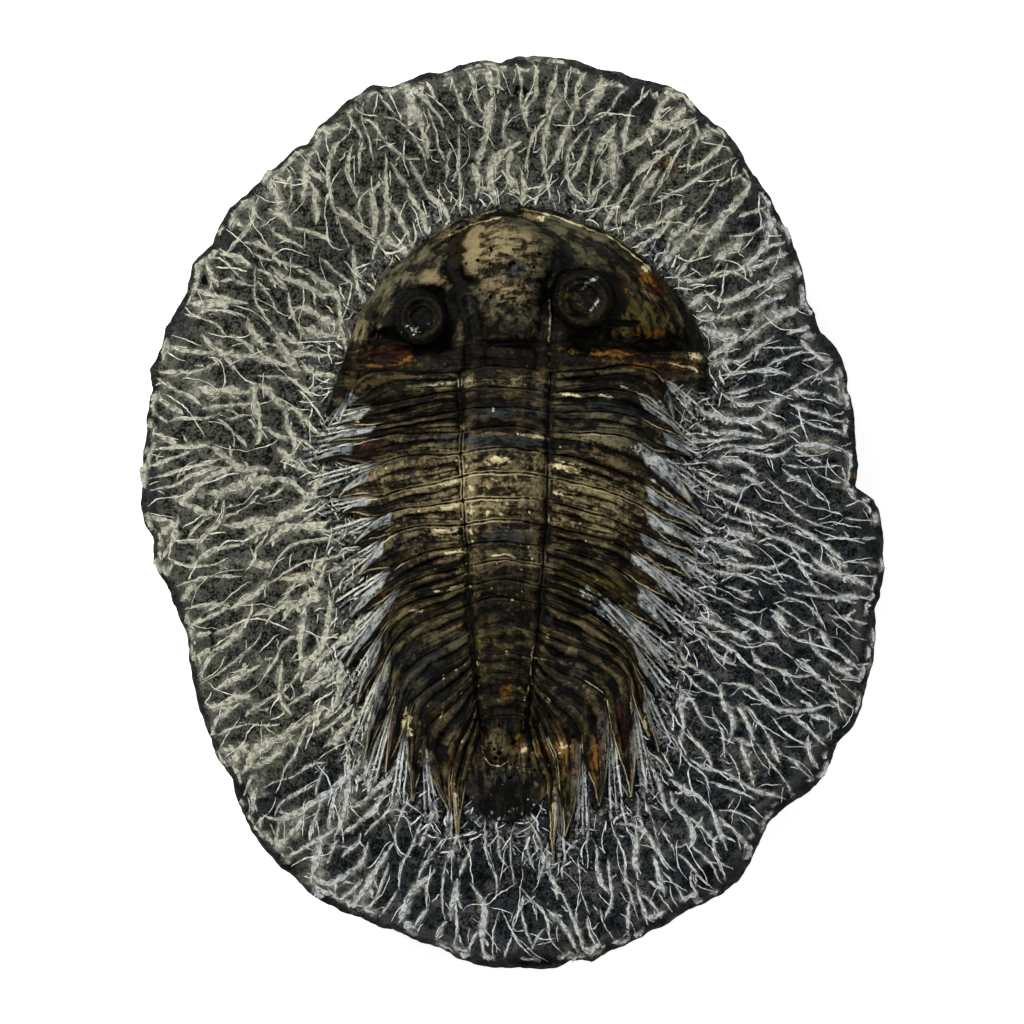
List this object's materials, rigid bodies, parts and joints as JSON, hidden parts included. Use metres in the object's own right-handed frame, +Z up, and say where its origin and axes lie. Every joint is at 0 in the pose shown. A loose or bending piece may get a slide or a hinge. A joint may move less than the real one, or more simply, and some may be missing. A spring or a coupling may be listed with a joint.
{
  "type": "fossil treveropyge trilobite",
  "caption": "Spiny Devonian trilobite lying back up in a loose slab of grey limestone with a flat cut base, prepared by air abrasion",
  "frame": {"origin": "middle of the bounding box on the flat cut base", "axes": "+Y towards the head shield, +Z up out of the slab, +X to the right of the picture"},
  "size_m": [0.0837, 0.103, 0.0262],
  "materials": {
    "limestone": "rough, broken and scratched by air abrasion",
    "fossil_shell": "dark semi-gloss calcite shell"
  },
  "bodies": {
    "root": {"matrix": "limestone", "cephalon": "fossil_shell", "thoracic_segment_01": "fossil_shell", "thoracic_segment_02": "fossil_shell", "thoracic_segment_03": "fossil_shell", "thoracic_segment_04": "fossil_shell", "thoracic_segment_05": "fossil_shell", "thoracic_segment_06": "fossil_shell", "thoracic_segment_07": "fossil_shell", "thoracic_segment_08": "fossil_shell", "thoracic_segment_09": "fossil_shell", "thoracic_segment_10": "fossil_shell", "thoracic_segment_11": "fossil_shell", "pygidium": "fossil_shell"}
  },
  "joints": []
}
